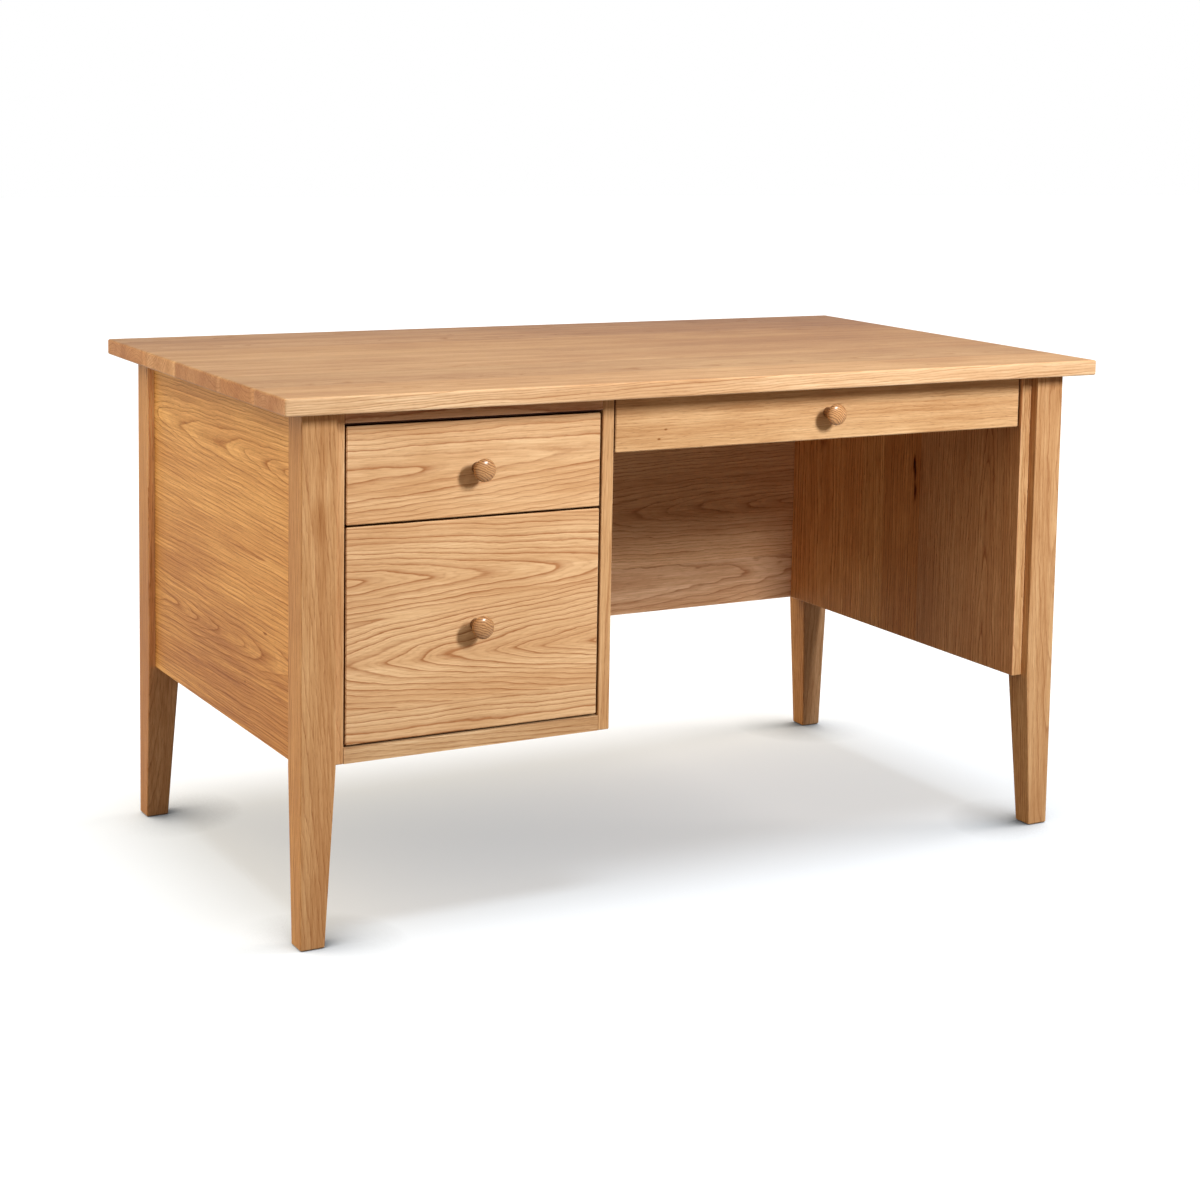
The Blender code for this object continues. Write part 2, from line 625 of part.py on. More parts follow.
def folded_sheet(path):
    """Outline of sheet steel folded along a centre line of points."""
    points = [Vector(point) for point in path]
    normals = []
    for start, end in zip(points, points[1:]):
        along = (end - start).normalized()
        normals.append(Vector((-along.y, along.x)))
    offsets = [normals[0]]
    for before, after in zip(normals, normals[1:]):
        offsets.append((before + after) / (1.0 + before.dot(after)))
    offsets.append(normals[-1])
    half = SLIDE_SHEET / 2
    left = [point + half * offset for point, offset in zip(points, offsets)]
    right = [point - half * offset for point, offset in zip(points, offsets)]
    return [tuple(point) for point in left + right[::-1]]


def symmetric_path(upper_half):
    """Completes a centre line whose lower half mirrors its upper half."""
    lower_half = [(across, -up) for across, up in reversed(upper_half)]
    return list(upper_half) + lower_half


def slide_sections():
    """Centre lines of the three members: distance from the case side, height from the slide's middle."""
    half_sheet = SLIDE_SHEET / 2
    step = SLIDE_SHEET + SLIDE_RUNNING_GAP
    outer_half = SLIDE_HEIGHT / 2
    outer_web = SEAT_GAP + half_sheet
    outer_lip = SEAT_GAP + SLIDE_OUTER_DEPTH - half_sheet
    outer = [(outer_lip, outer_half - SLIDE_LIP), (outer_lip, outer_half - half_sheet),
             (outer_web, outer_half - half_sheet)]
    middle_half = outer_half - step
    middle_web = outer_web + step
    middle_lip = outer_lip - step
    middle = [(middle_lip, middle_half - SLIDE_LIP), (middle_lip, middle_half - half_sheet),
              (middle_web, middle_half - half_sheet)]
    brim_half = middle_half - step
    brim = middle_web + step
    crown = middle_half - SLIDE_LIP - SLIDE_RUNNING_GAP - half_sheet
    inner_web = SLIDE_SPACE - SEAT_GAP - half_sheet
    inner = [(brim, brim_half), (brim, crown), (inner_web, crown)]
    return {"outer": symmetric_path(outer), "middle": symmetric_path(middle), "inner": symmetric_path(inner)}


def slide_member(drawer, member, side_name, x_side, y_start, length):
    """One member of a slide, in the drawer's frame."""
    outline = []
    for across, up in folded_sheet(slide_sections()[member]):
        outline.append((x_side * (drawer.half_opening - across), drawer.slide_z + up))
    shape = prism(outline, "Y", y_start, y_start + length)
    return solid(f"{drawer.name}_slide_{member}_{side_name}", shape)


def slides(drawer, desk_frame, drawer_frame):
    """Pair of slides: outer members on the case, middle members between, inner members on the box."""
    middle_frame = joint_frame(f"{drawer.name}_slides_frame", drawer.origin)
    middle_y = drawer.slide_y + SLIDE_MIDDLE_SHORTER
    middle_length = SLIDE_LENGTH - 2 * SLIDE_MIDDLE_SHORTER
    for side_name, x_side in (("left", -1), ("right", 1)):
        outer = slide_member(drawer, "outer", side_name, x_side, drawer.slide_y, SLIDE_LENGTH)
        outer.location += drawer.origin
        finish(outer, STEEL, desk_frame)
        middle = slide_member(drawer, "middle", side_name, x_side, middle_y, middle_length)
        finish(middle, STEEL, middle_frame)
        inner = slide_member(drawer, "inner", side_name, x_side, drawer.slide_y, SLIDE_LENGTH)
        finish(inner, STEEL, drawer_frame)


def whole_drawer(drawer, desk_frame):
    """Drawer box, front, knob and slides."""
    drawer_frame = joint_frame(f"{drawer.name}_drawer_frame", drawer.origin)
    drawer_front(drawer, drawer_frame)
    box_front(drawer, drawer_frame)
    box_side(drawer, "left", -1, drawer_frame)
    box_side(drawer, "right", 1, drawer_frame)
    box_back(drawer, drawer_frame)
    box_floor(drawer, drawer_frame)
    knob_and_screw(drawer, drawer_frame)
    slides(drawer, desk_frame, drawer_frame)


def drawer_list():
    """The three drawers, each filling its opening: box over file in the pedestal, one over the kneehole."""
    file_low = PEDESTAL_FLOOR_Z + FRONT_REVEAL
    box_high = RAIL_UNDERSIDE_Z - FRONT_REVEAL
    box_low = box_high - BOX_FRONT_HEIGHT
    file_high = box_low - FRONT_REVEAL
    centre_high = CASE_TOP - FRONT_REVEAL
    centre_low = centre_high - CENTRE_FRONT_HEIGHT
    return [Drawer("box", -SIDE_INNER_X, PARTITION_LEFT_X, box_low, box_high),
            Drawer("file", -SIDE_INNER_X, PARTITION_LEFT_X, file_low, file_high),
            Drawer("centre", PARTITION_RIGHT_X, SIDE_INNER_X, centre_low, centre_high)]


def main():
    """Builds the whole desk with its drawers closed."""
    clear_scene()
    desk_frame = joint_frame("desk_frame")
    fixed_case(desk_frame)
    for drawer in drawer_list():
        whole_drawer(drawer, desk_frame)


main()
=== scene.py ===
"""Looks of the executive desk: oak boards cut from procedural logs, turned knobs, zinc slides."""
import math
import random
from collections import namedtuple

import bmesh
import bpy
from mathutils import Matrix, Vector


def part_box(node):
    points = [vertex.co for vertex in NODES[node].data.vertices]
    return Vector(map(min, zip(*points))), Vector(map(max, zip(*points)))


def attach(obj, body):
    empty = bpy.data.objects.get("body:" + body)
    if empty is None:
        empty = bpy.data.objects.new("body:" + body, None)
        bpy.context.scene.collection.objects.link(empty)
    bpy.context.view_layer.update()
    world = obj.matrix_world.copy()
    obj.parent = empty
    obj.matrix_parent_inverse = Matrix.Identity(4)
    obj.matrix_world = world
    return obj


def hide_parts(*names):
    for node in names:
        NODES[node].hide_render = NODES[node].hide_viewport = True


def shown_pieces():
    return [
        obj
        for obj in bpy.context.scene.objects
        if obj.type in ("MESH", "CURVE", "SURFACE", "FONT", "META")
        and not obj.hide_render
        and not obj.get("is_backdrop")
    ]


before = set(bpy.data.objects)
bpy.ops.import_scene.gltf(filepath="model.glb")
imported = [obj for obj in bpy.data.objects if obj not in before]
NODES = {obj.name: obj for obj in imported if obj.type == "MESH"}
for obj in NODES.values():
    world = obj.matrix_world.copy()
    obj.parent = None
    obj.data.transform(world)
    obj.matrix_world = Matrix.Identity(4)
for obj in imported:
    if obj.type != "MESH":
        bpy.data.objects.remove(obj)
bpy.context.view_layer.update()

AXES = "xyz"
WHITE = (1.0, 1.0, 1.0)
UP = (0.0, 0.0, 1.0)

# A board is sawn from a log. Its heart line runs along the grain: where it lies across the board,
# how that drifts per metre, how deep it lies behind the face, and how that depth changes per metre.
# The lead is added to the distance from it, so that of two hearts the leading one gives way sooner.
# The point tells how its rings close: round at two, sharper below that.
Heart = namedtuple("Heart", "across drift depth taper lead point", defaults=(0.0, 2.0))
# One strip of a glued-up board, from its start across the board, with its own hearts, its tone and
# the tone that its end grain has on top of that.
END_GRAIN = (0.86, 0.80, 0.74)
Stave = namedtuple("Stave", "start hearts tone end", defaults=(WHITE, END_GRAIN))
# The first stave of a board starts anywhere outside it
NO_START = -9.0
# A knot, fleck or patch: its place along and across the board, its length and width, and how much it
# darkens the wood; below nothing it is paler.
Mark = namedtuple("Mark", "along across long wide depth")
# The part of a mark, from its middle, that has its full depth
MARK_CORE = 0.15
# A noise: about how long its features are, in metres, and what is added to the seed of the material
Texture = namedtuple("Texture", "lengths seed detail roughness", defaults=(2.0, 0.5))
# Each seed takes its noise from another place
NOISE_STEP = (3.17, 7.31, 1.93)
LINE_NOISE_STEP = 5.71
# Most of a noise lies in these spans
NOISE_MIDDLE = (0.3, 0.7)
NOISE_BROAD = (0.25, 0.75)
# Sockets of the Mix node for each kind of data: its two values and its result
MIX_SOCKETS = {"FLOAT": (2, 3, 0), "RGBA": (6, 7, 2)}


class Net:
    """Shorthand for wiring the nodes of a material or of the world."""

    def __init__(self, owner):
        self.owner = owner
        owner.use_nodes = True
        self.tree = owner.node_tree
        self.tree.nodes.clear()

    def new(self, kind, **settings):
        node = self.tree.nodes.new(kind)
        for name, value in settings.items():
            setattr(node, name, value)
        return node

    def feed(self, socket, value):
        if isinstance(value, bpy.types.NodeSocket):
            self.tree.links.new(value, socket)
        else:
            socket.default_value = value

    def wired(self, kind, values, **settings):
        """The first output of a new node that takes those values in order."""
        node = self.new(kind, **settings)
        for socket, value in zip(node.inputs, values):
            self.feed(socket, value)
        return node.outputs[0]

    def math(self, operation, *values):
        return self.wired("ShaderNodeMath", values, operation=operation)

    def vector(self, operation, *values):
        return self.wired("ShaderNodeVectorMath", values, operation=operation)

    def join(self, *values):
        return self.wired("ShaderNodeCombineXYZ", values)

    def total(self, first, *others):
        for other in others:
            first = self.math("ADD", first, other)
        return first

    def scaled(self, vector, factor):
        node = self.new("ShaderNodeVectorMath", operation="SCALE")
        self.feed(node.inputs[0], vector)
        self.feed(node.inputs["Scale"], factor)
        return node.outputs[0]

    def split(self, vector):
        node = self.new("ShaderNodeSeparateXYZ")
        self.feed(node.inputs[0], vector)
        return node.outputs

    def noise(self, vector, texture, seed, output="Fac"):
        place = self.vector("DIVIDE", vector, texture.lengths)
        shift = tuple((seed + texture.seed) * step for step in NOISE_STEP)
        node = self.new("ShaderNodeTexNoise")
        self.feed(node.inputs["Vector"], self.vector("ADD", place, shift))
        self.feed(node.inputs["Scale"], 1.0)
        self.feed(node.inputs["Detail"], texture.detail)
        self.feed(node.inputs["Roughness"], texture.roughness)
        return node.outputs[output]

    def line_noise(self, value, length, seed):
        """Noise that changes with one value, over about that length of it."""
        node = self.new("ShaderNodeTexNoise", noise_dimensions="1D")
        self.feed(node.inputs["W"], self.math("MULTIPLY_ADD", value, 1.0 / length, seed * LINE_NOISE_STEP))
        self.feed(node.inputs["Scale"], 1.0)
        self.feed(node.inputs["Detail"], 1.0)
        return node.outputs[0]

    def span(self, value, source, target=(0.0, 1.0), smooth=True):
        """value taken from the source span onto the target span."""
        node = self.new("ShaderNodeMapRange")
        node.interpolation_type = "SMOOTHSTEP" if smooth else "LINEAR"
        keys = ("Value", "From Min", "From Max", "To Min", "To Max")
        for key, item in zip(keys, (value, *source, *target)):
            self.feed(node.inputs[key], item)
        return node.outputs[0]

    def between(self, kind, factor, first, second):
        node = self.new("ShaderNodeMix", data_type=kind)
        low, high, result = MIX_SOCKETS[kind]
        self.feed(node.inputs[0], factor)
        self.feed(node.inputs[low], first)
        self.feed(node.inputs[high], second)
        return node.outputs[result]

    def blend(self, factor, first, second):
        return self.between("FLOAT", factor, first, second)

    def mix(self, factor, first, second):
        return self.between("RGBA", factor, colour(first), colour(second))

    def open_air(self, reach, samples, normal=None):
        """How open a place is: one where nothing lies within that reach of it."""
        node = self.new("ShaderNodeAmbientOcclusion", samples=samples)
        self.feed(node.inputs["Distance"], reach)
        if normal:
            self.feed(node.inputs["Normal"], normal)
        return node.outputs["AO"]

    def surface(self, base, roughness, height, bump, **constants):
        """Ends the material in a principled surface with a bump of that depth in metres."""
        shader = self.new("ShaderNodeBsdfPrincipled")
        self.feed(shader.inputs["Base Color"], base)
        self.feed(shader.inputs["Roughness"], roughness)
        relief = self.new("ShaderNodeBump")
        self.feed(relief.inputs["Strength"], 1.0)
        self.feed(relief.inputs["Distance"], bump)
        self.feed(relief.inputs["Height"], height)
        self.feed(shader.inputs["Normal"], relief.outputs[0])
        for name, value in constants.items():
            self.feed(shader.inputs[name.replace("_", " ")], value)
        output = self.new("ShaderNodeOutputMaterial")
        self.feed(output.inputs["Surface"], shader.outputs[0])
        return self.owner


def colour(value):
    if isinstance(value, bpy.types.NodeSocket):
        return value
    return (*value, 1.0)


def grey(level):
    return (level, level, level)


def swing(reach):
    return (-reach, reach)


def wander(net, value, reach):
    """A noise value taken to plus or minus half that reach."""
    return net.math("MULTIPLY_ADD", value, reach, -reach / 2)


def ring_distance(net, heart, s, t, d):
    """Distance from the heart line of the log, at a place along, across and through the board."""
    centre = net.math("MULTIPLY_ADD", s, heart.drift, heart.across)
    across = net.math("SUBTRACT", t, centre)
    depth = net.math("ADD", net.math("MULTIPLY_ADD", s, heart.taper, heart.depth), d)
    powers = [net.math("POWER", net.math("ABSOLUTE", part), heart.point) for part in (across, depth)]
    return net.math("ADD", net.math("POWER", net.total(*powers), 1.0 / heart.point), heart.lead)


def edge_mask(net, place, low, high, width):
    """One along the edges of a box, where two of its faces meet, fading to nothing at that width."""
    centre = [(a + b) / 2 for a, b in zip(low, high)]
    half = [(b - a) / 2 for a, b in zip(low, high)]
    away = net.vector("ABSOLUTE", net.vector("SUBTRACT", place, centre))
    a, b, c = net.split(net.vector("SUBTRACT", half, away))
    second = net.math("MAXIMUM", net.math("MINIMUM", a, b), net.math("MINIMUM", net.math("MAXIMUM", a, b), c))
    return net.span(second, (0.0, width), (1.0, 0.0))


def mark_mask(net, mark, along, across):
    """How much of a mark shows at a place of the board."""
    a = net.math("DIVIDE", net.math("SUBTRACT", along, mark.along), mark.long)
    b = net.math("DIVIDE", net.math("SUBTRACT", across, mark.across), mark.wide)
    away = net.math("SQRT", net.math("MULTIPLY_ADD", a, a, net.math("MULTIPLY", b, b)))
    return net.span(away, (MARK_CORE, 1.0), (mark.depth, 0.0))


# Oak colours, linear
OAK_LIGHT = (0.775, 0.510, 0.280)
OAK_DEEP = (0.675, 0.408, 0.208)
OAK_EARLY = (0.430, 0.194, 0.080)
OAK_PORE = (0.230, 0.085, 0.028)
# As oak darkens, its green and blue fall faster than its red, by these powers
DARKENING = (1.5, 2.0)
DARKEST = 0.03
# Wander of the grain, and how far it moves the rings across and through the board, in metres
SWAY = Texture((0.40, 0.11, 0.11), 0)
SWAY_REACH = (0.050, 0.036)
RIPPLE = Texture((0.09, 0.030, 0.030), 1)
RIPPLE_REACH = (0.022, 0.016)
BENDS = Texture((0.026, 0.011, 0.011), 12)
BENDS_REACH = 0.0050
FRAY = Texture((0.018, 0.0030, 0.0030), 2, 3.0, 0.6)
FRAY_REACH = 0.0018
# Hearts of one stave run into each other over this distance
HEART_BLEND = 0.012
# Rings are uneven in width: over so many rings, by so many
UNEVEN_LENGTH = 3.1
UNEVEN_REACH = 1.5
# Early wood within a ring: where it sets in, where it fades out, and how fast
EARLY_RISE = (0.92, 1.0)
EARLY_FADE = (0.0, 0.44)
EARLY_FADE_POWER = 1.6
EARLY_STRENGTH = 0.95
# Rings differ in strength from ring to ring, and along their length
VIGOUR_SEED = 3
VIGOUR_LENGTH = 1.2
VIGOUR = (0.50, 1.0)
PRESENCE = Texture((0.12, 0.014, 0.014), 4)
PRESENCE_SHARE = (0.66, 1.0)
# Faint lines between the rings
LINES_PER_RING = 3.0
LINE_WIDTH = (0.20, 0.50)
LINE_STRENGTH = 0.16
# Fibre, streaks and clouds, and how much they shade the wood
FIBRE_ACROSS = 0.0019
FIBRE_SEED = 5
FIBRE_DETAIL = (3.0, 0.65)
FIBRE_SPAN = (0.22, 0.78)
FIBRE_SHADE = 0.20
STREAK = Texture((0.30, 0.006, 0.006), 9)
STREAK_SHADE = 0.09
CLOUD = Texture((0.16, 0.09, 0.09), 8)
CLOUD_SHADE = 0.05
# Slow change from light to deep oak
BAND = Texture((0.60, 0.035, 0.035), 7, 3.0)
BAND_SPAN = (0.35, 0.65)
# Pores, and how much they show in early wood and anywhere
PORE = Texture((0.012, 0.0011, 0.0011), 6, 1.0)
PORE_SPAN = (0.55, 0.72)
PORE_IN_EARLY = 0.35
PORE_ANYWHERE = 0.14
# How far a surface has turned to an end or edge, or to a face, by that part of its normal
TURNED_AWAY = (0.6, 0.9)
TURNED_TO_FACE = (0.25, 0.75)
# Painted gap shade on edges gives way to plain wood where they are as open as this
GAP_OPEN = (0.70, 0.97)
GAP_SAMPLES = 12
# Arrises are paler, from handling and as a painted highlight where light catches them
ARRIS_WIDTH = 0.004
ARRIS_SPAN = (0.35, 0.7)
ARRIS_PALENESS = (0.02, 0.12)
# Oiled finish
OAK_ROUGHNESS = 0.42
EARLY_ROUGHNESS = 0.10
FIBRE_ROUGHNESS = 0.10
FIBRE_HEIGHT = 0.35
PORE_HEIGHT = -0.5
EARLY_HEIGHT = -0.25
OAK_RELIEF = 0.00006
OAK_SPECULAR = 0.10


def oak(name, node, along, across, staves, seed, ring=0.0065, contrast=1.0, end_contrast=1.0,
        edge_contrast=None, wave=0.4, wiggle=1.0, fine=1.0, fibre_length=0.055, wear=1.0, marks=(),
        tint=WHITE, edge_tint=None, gap=None):
    """A board of oak. Grain runs along one axis; staves lie side by side across another.

    A ring is so many metres wide. The contrasts say how dark early wood is on faces, ends and edges.
    Wave and wiggle bend the grain, fine gives more fibre and pores, arris paleness paler arrises, from
    handling and as a painted highlight. The edge tint, which carries painted shade on shaded sides and in
    gaps, is on all sides but the faces, or with a gap only where something lies that close to them.
    """
    net = Net(bpy.data.materials.new(name))
    coordinates = net.new("ShaderNodeTexCoord")
    place = coordinates.outputs["Object"]
    low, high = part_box(node)
    through = next(axis for axis in AXES if axis not in (along, across))
    order = [AXES.index(axis) for axis in (along, across, through)]
    parts = net.split(place)
    centred = [net.math("SUBTRACT", parts[i], (low[i] + high[i]) / 2) for i in order]
    s, t, d = centred[0], parts[order[1]], centred[2]
    grain = net.join(s, t, d)
    normal = net.split(coordinates.outputs["Normal"])
    turned = [net.math("ABSOLUTE", normal[i]) for i in order]

    # Wander of the grain
    sway = net.split(net.noise(grain, SWAY, seed, "Color"))
    ripple = net.split(net.noise(grain, RIPPLE, seed, "Color"))
    bends = net.noise(grain, BENDS, seed)
    fray = net.noise(grain, FRAY, seed)
    t_bent = net.total(t, wander(net, sway[0], SWAY_REACH[0] * wave),
                       wander(net, ripple[0], RIPPLE_REACH[0] * wave),
                       wander(net, bends, BENDS_REACH * wiggle), wander(net, fray, FRAY_REACH * wiggle))
    d_bent = net.total(d, wander(net, sway[1], SWAY_REACH[1] * wave),
                       wander(net, ripple[1], RIPPLE_REACH[1] * wave))

    # Distance from the heart, stave by stave
    distance, tone, end_tone = None, None, None
    for stave in staves:
        own, *others = (ring_distance(net, heart, s, t_bent, d_bent) for heart in stave.hearts)
        for other in others:
            own = net.math("SMOOTH_MIN", own, other, HEART_BLEND)
        if distance is None:
            distance, tone, end_tone = own, stave.tone, stave.end
        else:
            here = net.math("GREATER_THAN", t, stave.start)
            distance = net.blend(here, distance, own)
            tone = net.mix(here, tone, stave.tone)
            end_tone = net.mix(here, end_tone, stave.end)

    # Growth rings: a dark, porous early band that fades into pale late wood, with faint lines between
    uneven = net.line_noise(distance, ring * UNEVEN_LENGTH, seed)
    turns = net.math("MULTIPLY_ADD", uneven, UNEVEN_REACH, net.math("DIVIDE", distance, ring))
    phase = net.math("FRACT", turns)
    rise = net.span(phase, EARLY_RISE)
    fade = net.math("POWER", net.span(phase, EARLY_FADE, (1.0, 0.0), False), EARLY_FADE_POWER)
    vigour = net.span(net.line_noise(turns, VIGOUR_LENGTH, seed + VIGOUR_SEED), NOISE_MIDDLE, VIGOUR)
    presence = net.span(net.noise(grain, PRESENCE, seed), NOISE_MIDDLE, PRESENCE_SHARE)
    early = net.math("MULTIPLY", net.math("MAXIMUM", rise, fade), net.math("MULTIPLY", vigour, presence))
    lines = net.math("PINGPONG", net.math("MULTIPLY_ADD", turns, LINES_PER_RING, fray), 0.5)
    early = net.math("ADD", early, net.span(lines, LINE_WIDTH, (0.0, LINE_STRENGTH)))
    early = net.math("MINIMUM", early, 1.0)

    # Fibre, pores and slow changes of tone
    fibres = Texture((fibre_length, FIBRE_ACROSS, FIBRE_ACROSS), FIBRE_SEED, *FIBRE_DETAIL)
    fibre = net.noise(grain, fibres, seed)
    streak = net.noise(grain, STREAK, seed)
    pore = net.span(net.noise(grain, PORE, seed), PORE_SPAN)
    band = net.noise(grain, BAND, seed)
    cloud = net.noise(grain, CLOUD, seed)

    end_face = net.span(turned[0], TURNED_AWAY)
    strength = net.blend(end_face, EARLY_STRENGTH * contrast, EARLY_STRENGTH * end_contrast)
    if edge_contrast:
        strength = net.blend(net.span(turned[1], TURNED_AWAY), strength, EARLY_STRENGTH * edge_contrast)
    base = net.mix(net.span(band, BAND_SPAN), OAK_LIGHT, OAK_DEEP)
    base = net.mix(net.math("MULTIPLY", early, strength), base, OAK_EARLY)
    porous = net.math("MULTIPLY_ADD", early, PORE_IN_EARLY, PORE_ANYWHERE * fine)
    base = net.mix(net.math("MULTIPLY", pore, porous), base, OAK_PORE)
    shade = net.total(net.span(fibre, FIBRE_SPAN, swing(FIBRE_SHADE * fine), False),
                      net.span(streak, NOISE_BROAD, swing(STREAK_SHADE * fine), False),
                      net.span(cloud, NOISE_MIDDLE, swing(CLOUD_SHADE)), 1.0)
    for mark in marks:
        shade = net.math("SUBTRACT", shade, mark_mask(net, mark, parts[order[0]], t_bent))

    # End grain has a tone of its own; edges get the edge tint, painted shade on shaded sides and in gaps
    tone = net.vector("MULTIPLY", tone, net.mix(end_face, WHITE, end_tone))
    if edge_tint:
        plain = net.span(turned[2], TURNED_TO_FACE)
        if gap:
            plain = net.math("MAXIMUM", plain, net.span(net.open_air(gap, GAP_SAMPLES), GAP_OPEN))
        tone = net.vector("MULTIPLY", tone, net.mix(plain, edge_tint, WHITE))
    pale_arris = net.math("MULTIPLY", edge_mask(net, place, low, high, ARRIS_WIDTH),
                    net.span(cloud, ARRIS_SPAN, [depth * wear for depth in ARRIS_PALENESS]))
    shade = net.math("MAXIMUM", net.math("ADD", shade, pale_arris), DARKEST)
    shades = net.join(shade, *(net.math("POWER", shade, power) for power in DARKENING))
    base = net.vector("MULTIPLY", net.vector("MULTIPLY", base, shades), tone)
    base = net.vector("MULTIPLY", base, tint)

    roughness = net.total(net.math("MULTIPLY", early, EARLY_ROUGHNESS),
                          net.math("MULTIPLY", fibre, FIBRE_ROUGHNESS), OAK_ROUGHNESS)
    height = net.total(net.math("MULTIPLY", fibre, FIBRE_HEIGHT), net.math("MULTIPLY", pore, PORE_HEIGHT),
                       net.math("MULTIPLY", early, EARLY_HEIGHT))
    return net.surface(base, roughness, height, OAK_RELIEF, Specular_IOR_Level=OAK_SPECULAR)


def dress(node, material):
    mesh = NODES[node].data
    mesh.materials.clear()
    mesh.materials.append(material)


# Hearts drawn by chance: how deep they lie, and how much they drift and taper
WILD_DEPTH = (0.02, 0.10)
WILD_DRIFT = swing(0.03)
WILD_TAPER = swing(0.06)
# Tones drawn by chance
WILD_TONE = (0.95, 1.05)
TONE_SEED = 50


def wild_hearts(seed, low, high, reach):
    """A heart somewhere near a strip of a board that spans low to high across."""
    dice = random.Random(seed)
    across = (low + high) / 2 + dice.uniform(-reach, reach) * (high - low)
    depth = dice.choice((-1, 1)) * dice.uniform(*WILD_DEPTH)
    return (Heart(across, dice.uniform(*WILD_DRIFT), depth, dice.uniform(*WILD_TAPER)),)


def strips(seed, starts, high, reach=0.8, tones=None, ends=None):
    """Staves that start at those places across a board."""
    made = []
    for i, (start, stop) in enumerate(zip(starts, [*starts[1:], high])):
        tone = tones[i] if tones else grey(random.Random(seed + TONE_SEED + i).uniform(*WILD_TONE))
        end = ends[i] if ends else END_GRAIN
        made.append(Stave(start, wild_hearts(seed + i, start, stop, reach), tone, end))
    return made


def board(node, along, across, seed, starts=None, reach=0.8, tones=None, ends=None, staves=None, **looks):
    """Dresses a node as a board with those staves, or with wild ones that have those starts."""
    low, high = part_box(node)
    axis = AXES.index(across)
    if staves is None:
        staves = strips(seed, starts or [low[axis]], high[axis], reach, tones, ends)
    dress(node, oak(f"oak_{node}", node, along, across, staves, seed, **looks))


# The top: staves edge to edge, paler at their joints on the left end. The stave tones, darker to the back,
# and a broad mark, darker to the back right, are painted shade; a thin mark on the right half of the front
# edge is painted light.
TOP_STARTS = [-0.394, -0.389, -0.277, -0.142, 0.058, 0.192, 0.300]
TOP_TONES_AND_SHADE = [(0.97, 0.99, 1.04), (0.77, 0.74, 0.68), (0.68, 0.65, 0.60), (0.73, 0.70, 0.65),
             (0.76, 0.73, 0.67), (0.675, 0.625, 0.58), (0.625, 0.575, 0.535)]
TOP_ENDS = [(0.94, 0.87, 0.93), (1.01, 0.91, 0.99), (1.17, 1.01, 0.93), (1.05, 0.93, 0.91),
            (1.24, 1.22, 1.29), (1.25, 1.14, 1.07), (1.26, 1.14, 1.08)]
TOP_LEFT_END = -0.677
TOP_END_JOINTS = (-0.269, -0.133, 0.067, 0.200)
TOP_MARKS_AND_PAINTED_LIGHT = [*(Mark(TOP_LEFT_END, joint, 0.006, 0.010, -0.16) for joint in TOP_END_JOINTS),
             Mark(0.75, 0.42, 1.35, 0.84, 0.28), Mark(0.45, -0.397, 0.60, 0.020, -0.14),
             Mark(-0.138, 0.285, 0.010, 0.006, 0.35), Mark(-0.622, -0.114, 0.050, 0.005, 0.10),
             Mark(-0.374, -0.041, 0.060, 0.005, 0.10)]
board("desk_top", "x", "y", seed=11, starts=TOP_STARTS, reach=0.6, tones=TOP_TONES_AND_SHADE, ends=TOP_ENDS,
      ring=0.0045, contrast=0.50, end_contrast=0.8, edge_contrast=1.1, wave=0.5, fine=0.85, marks=TOP_MARKS_AND_PAINTED_LIGHT)

# Legs: seed, tint, tint of their sides and marks. The back legs' tints and side tints are painted light and
# shade on their fronts and sides, and the back left leg's broad pale mark is painted light on its upper part.
LEGS = {
    "leg_front_left": (31, (0.80, 0.69, 0.575), (1.06, 1.10, 1.12), [
        Mark(0.633, -0.604, 0.045, 0.014, -0.15), Mark(0.588, -0.618, 0.055, 0.017, 0.20)]),
    "leg_front_right": (38, (0.82, 0.74, 0.66), None, []),
    "leg_back_left": (45, (1.12, 1.05, 1.09), (0.66, 0.57, 0.40), [Mark(0.72, -0.63, 0.50, 0.50, -0.25)]),
    "leg_back_right": (52, (0.93, 0.84, 0.82), (0.84, 0.79, 0.66), []),
}
for node, (seed, tint, side, marks) in LEGS.items():
    board(node, "z", "x", seed, reach=1.5, ring=0.0045, contrast=0.7, edge_contrast=1.4, wave=0.3,
          marks=marks, tint=tint, edge_tint=side)

# End panels
END_TINT = (1.12, 1.05, 0.77)
END_LEFT_HEARTS = (Heart(0.650, 0.02, 0.046, 0.050, 0.0, 1.7), Heart(0.372, 0.0, 0.036, -0.050, 0.0, 1.8))
# The left panel's two broad marks are painted shade, darker towards the bottom, and painted light along the
# top; the two small ones are flecks.
END_LEFT_MARKS_AND_PAINTED_SHADE = [Mark(0.0, 0.215, 1.2, 0.42, 0.27), Mark(0.0, 0.74, 1.2, 0.12, -0.06),
                  Mark(-0.191, 0.406, 0.012, 0.003, 0.55), Mark(-0.109, 0.317, 0.003, 0.003, 0.45)]
END_RIGHT_HEARTS = (Heart(0.560, 0.03, 0.040, -0.06), Heart(0.330, 0.0, 0.060, 0.08))
board("end_panel_left", "y", "z", seed=71, staves=[Stave(NO_START, END_LEFT_HEARTS)], ring=0.0054,
      contrast=1.2, wave=0.34, wiggle=0.25, fine=1.5, fibre_length=0.16, wear=0.2, marks=END_LEFT_MARKS_AND_PAINTED_SHADE,
      tint=END_TINT)
board("end_panel_right", "y", "z", seed=83, staves=[Stave(NO_START, END_RIGHT_HEARTS)], ring=0.005,
      contrast=0.65, tint=END_TINT)

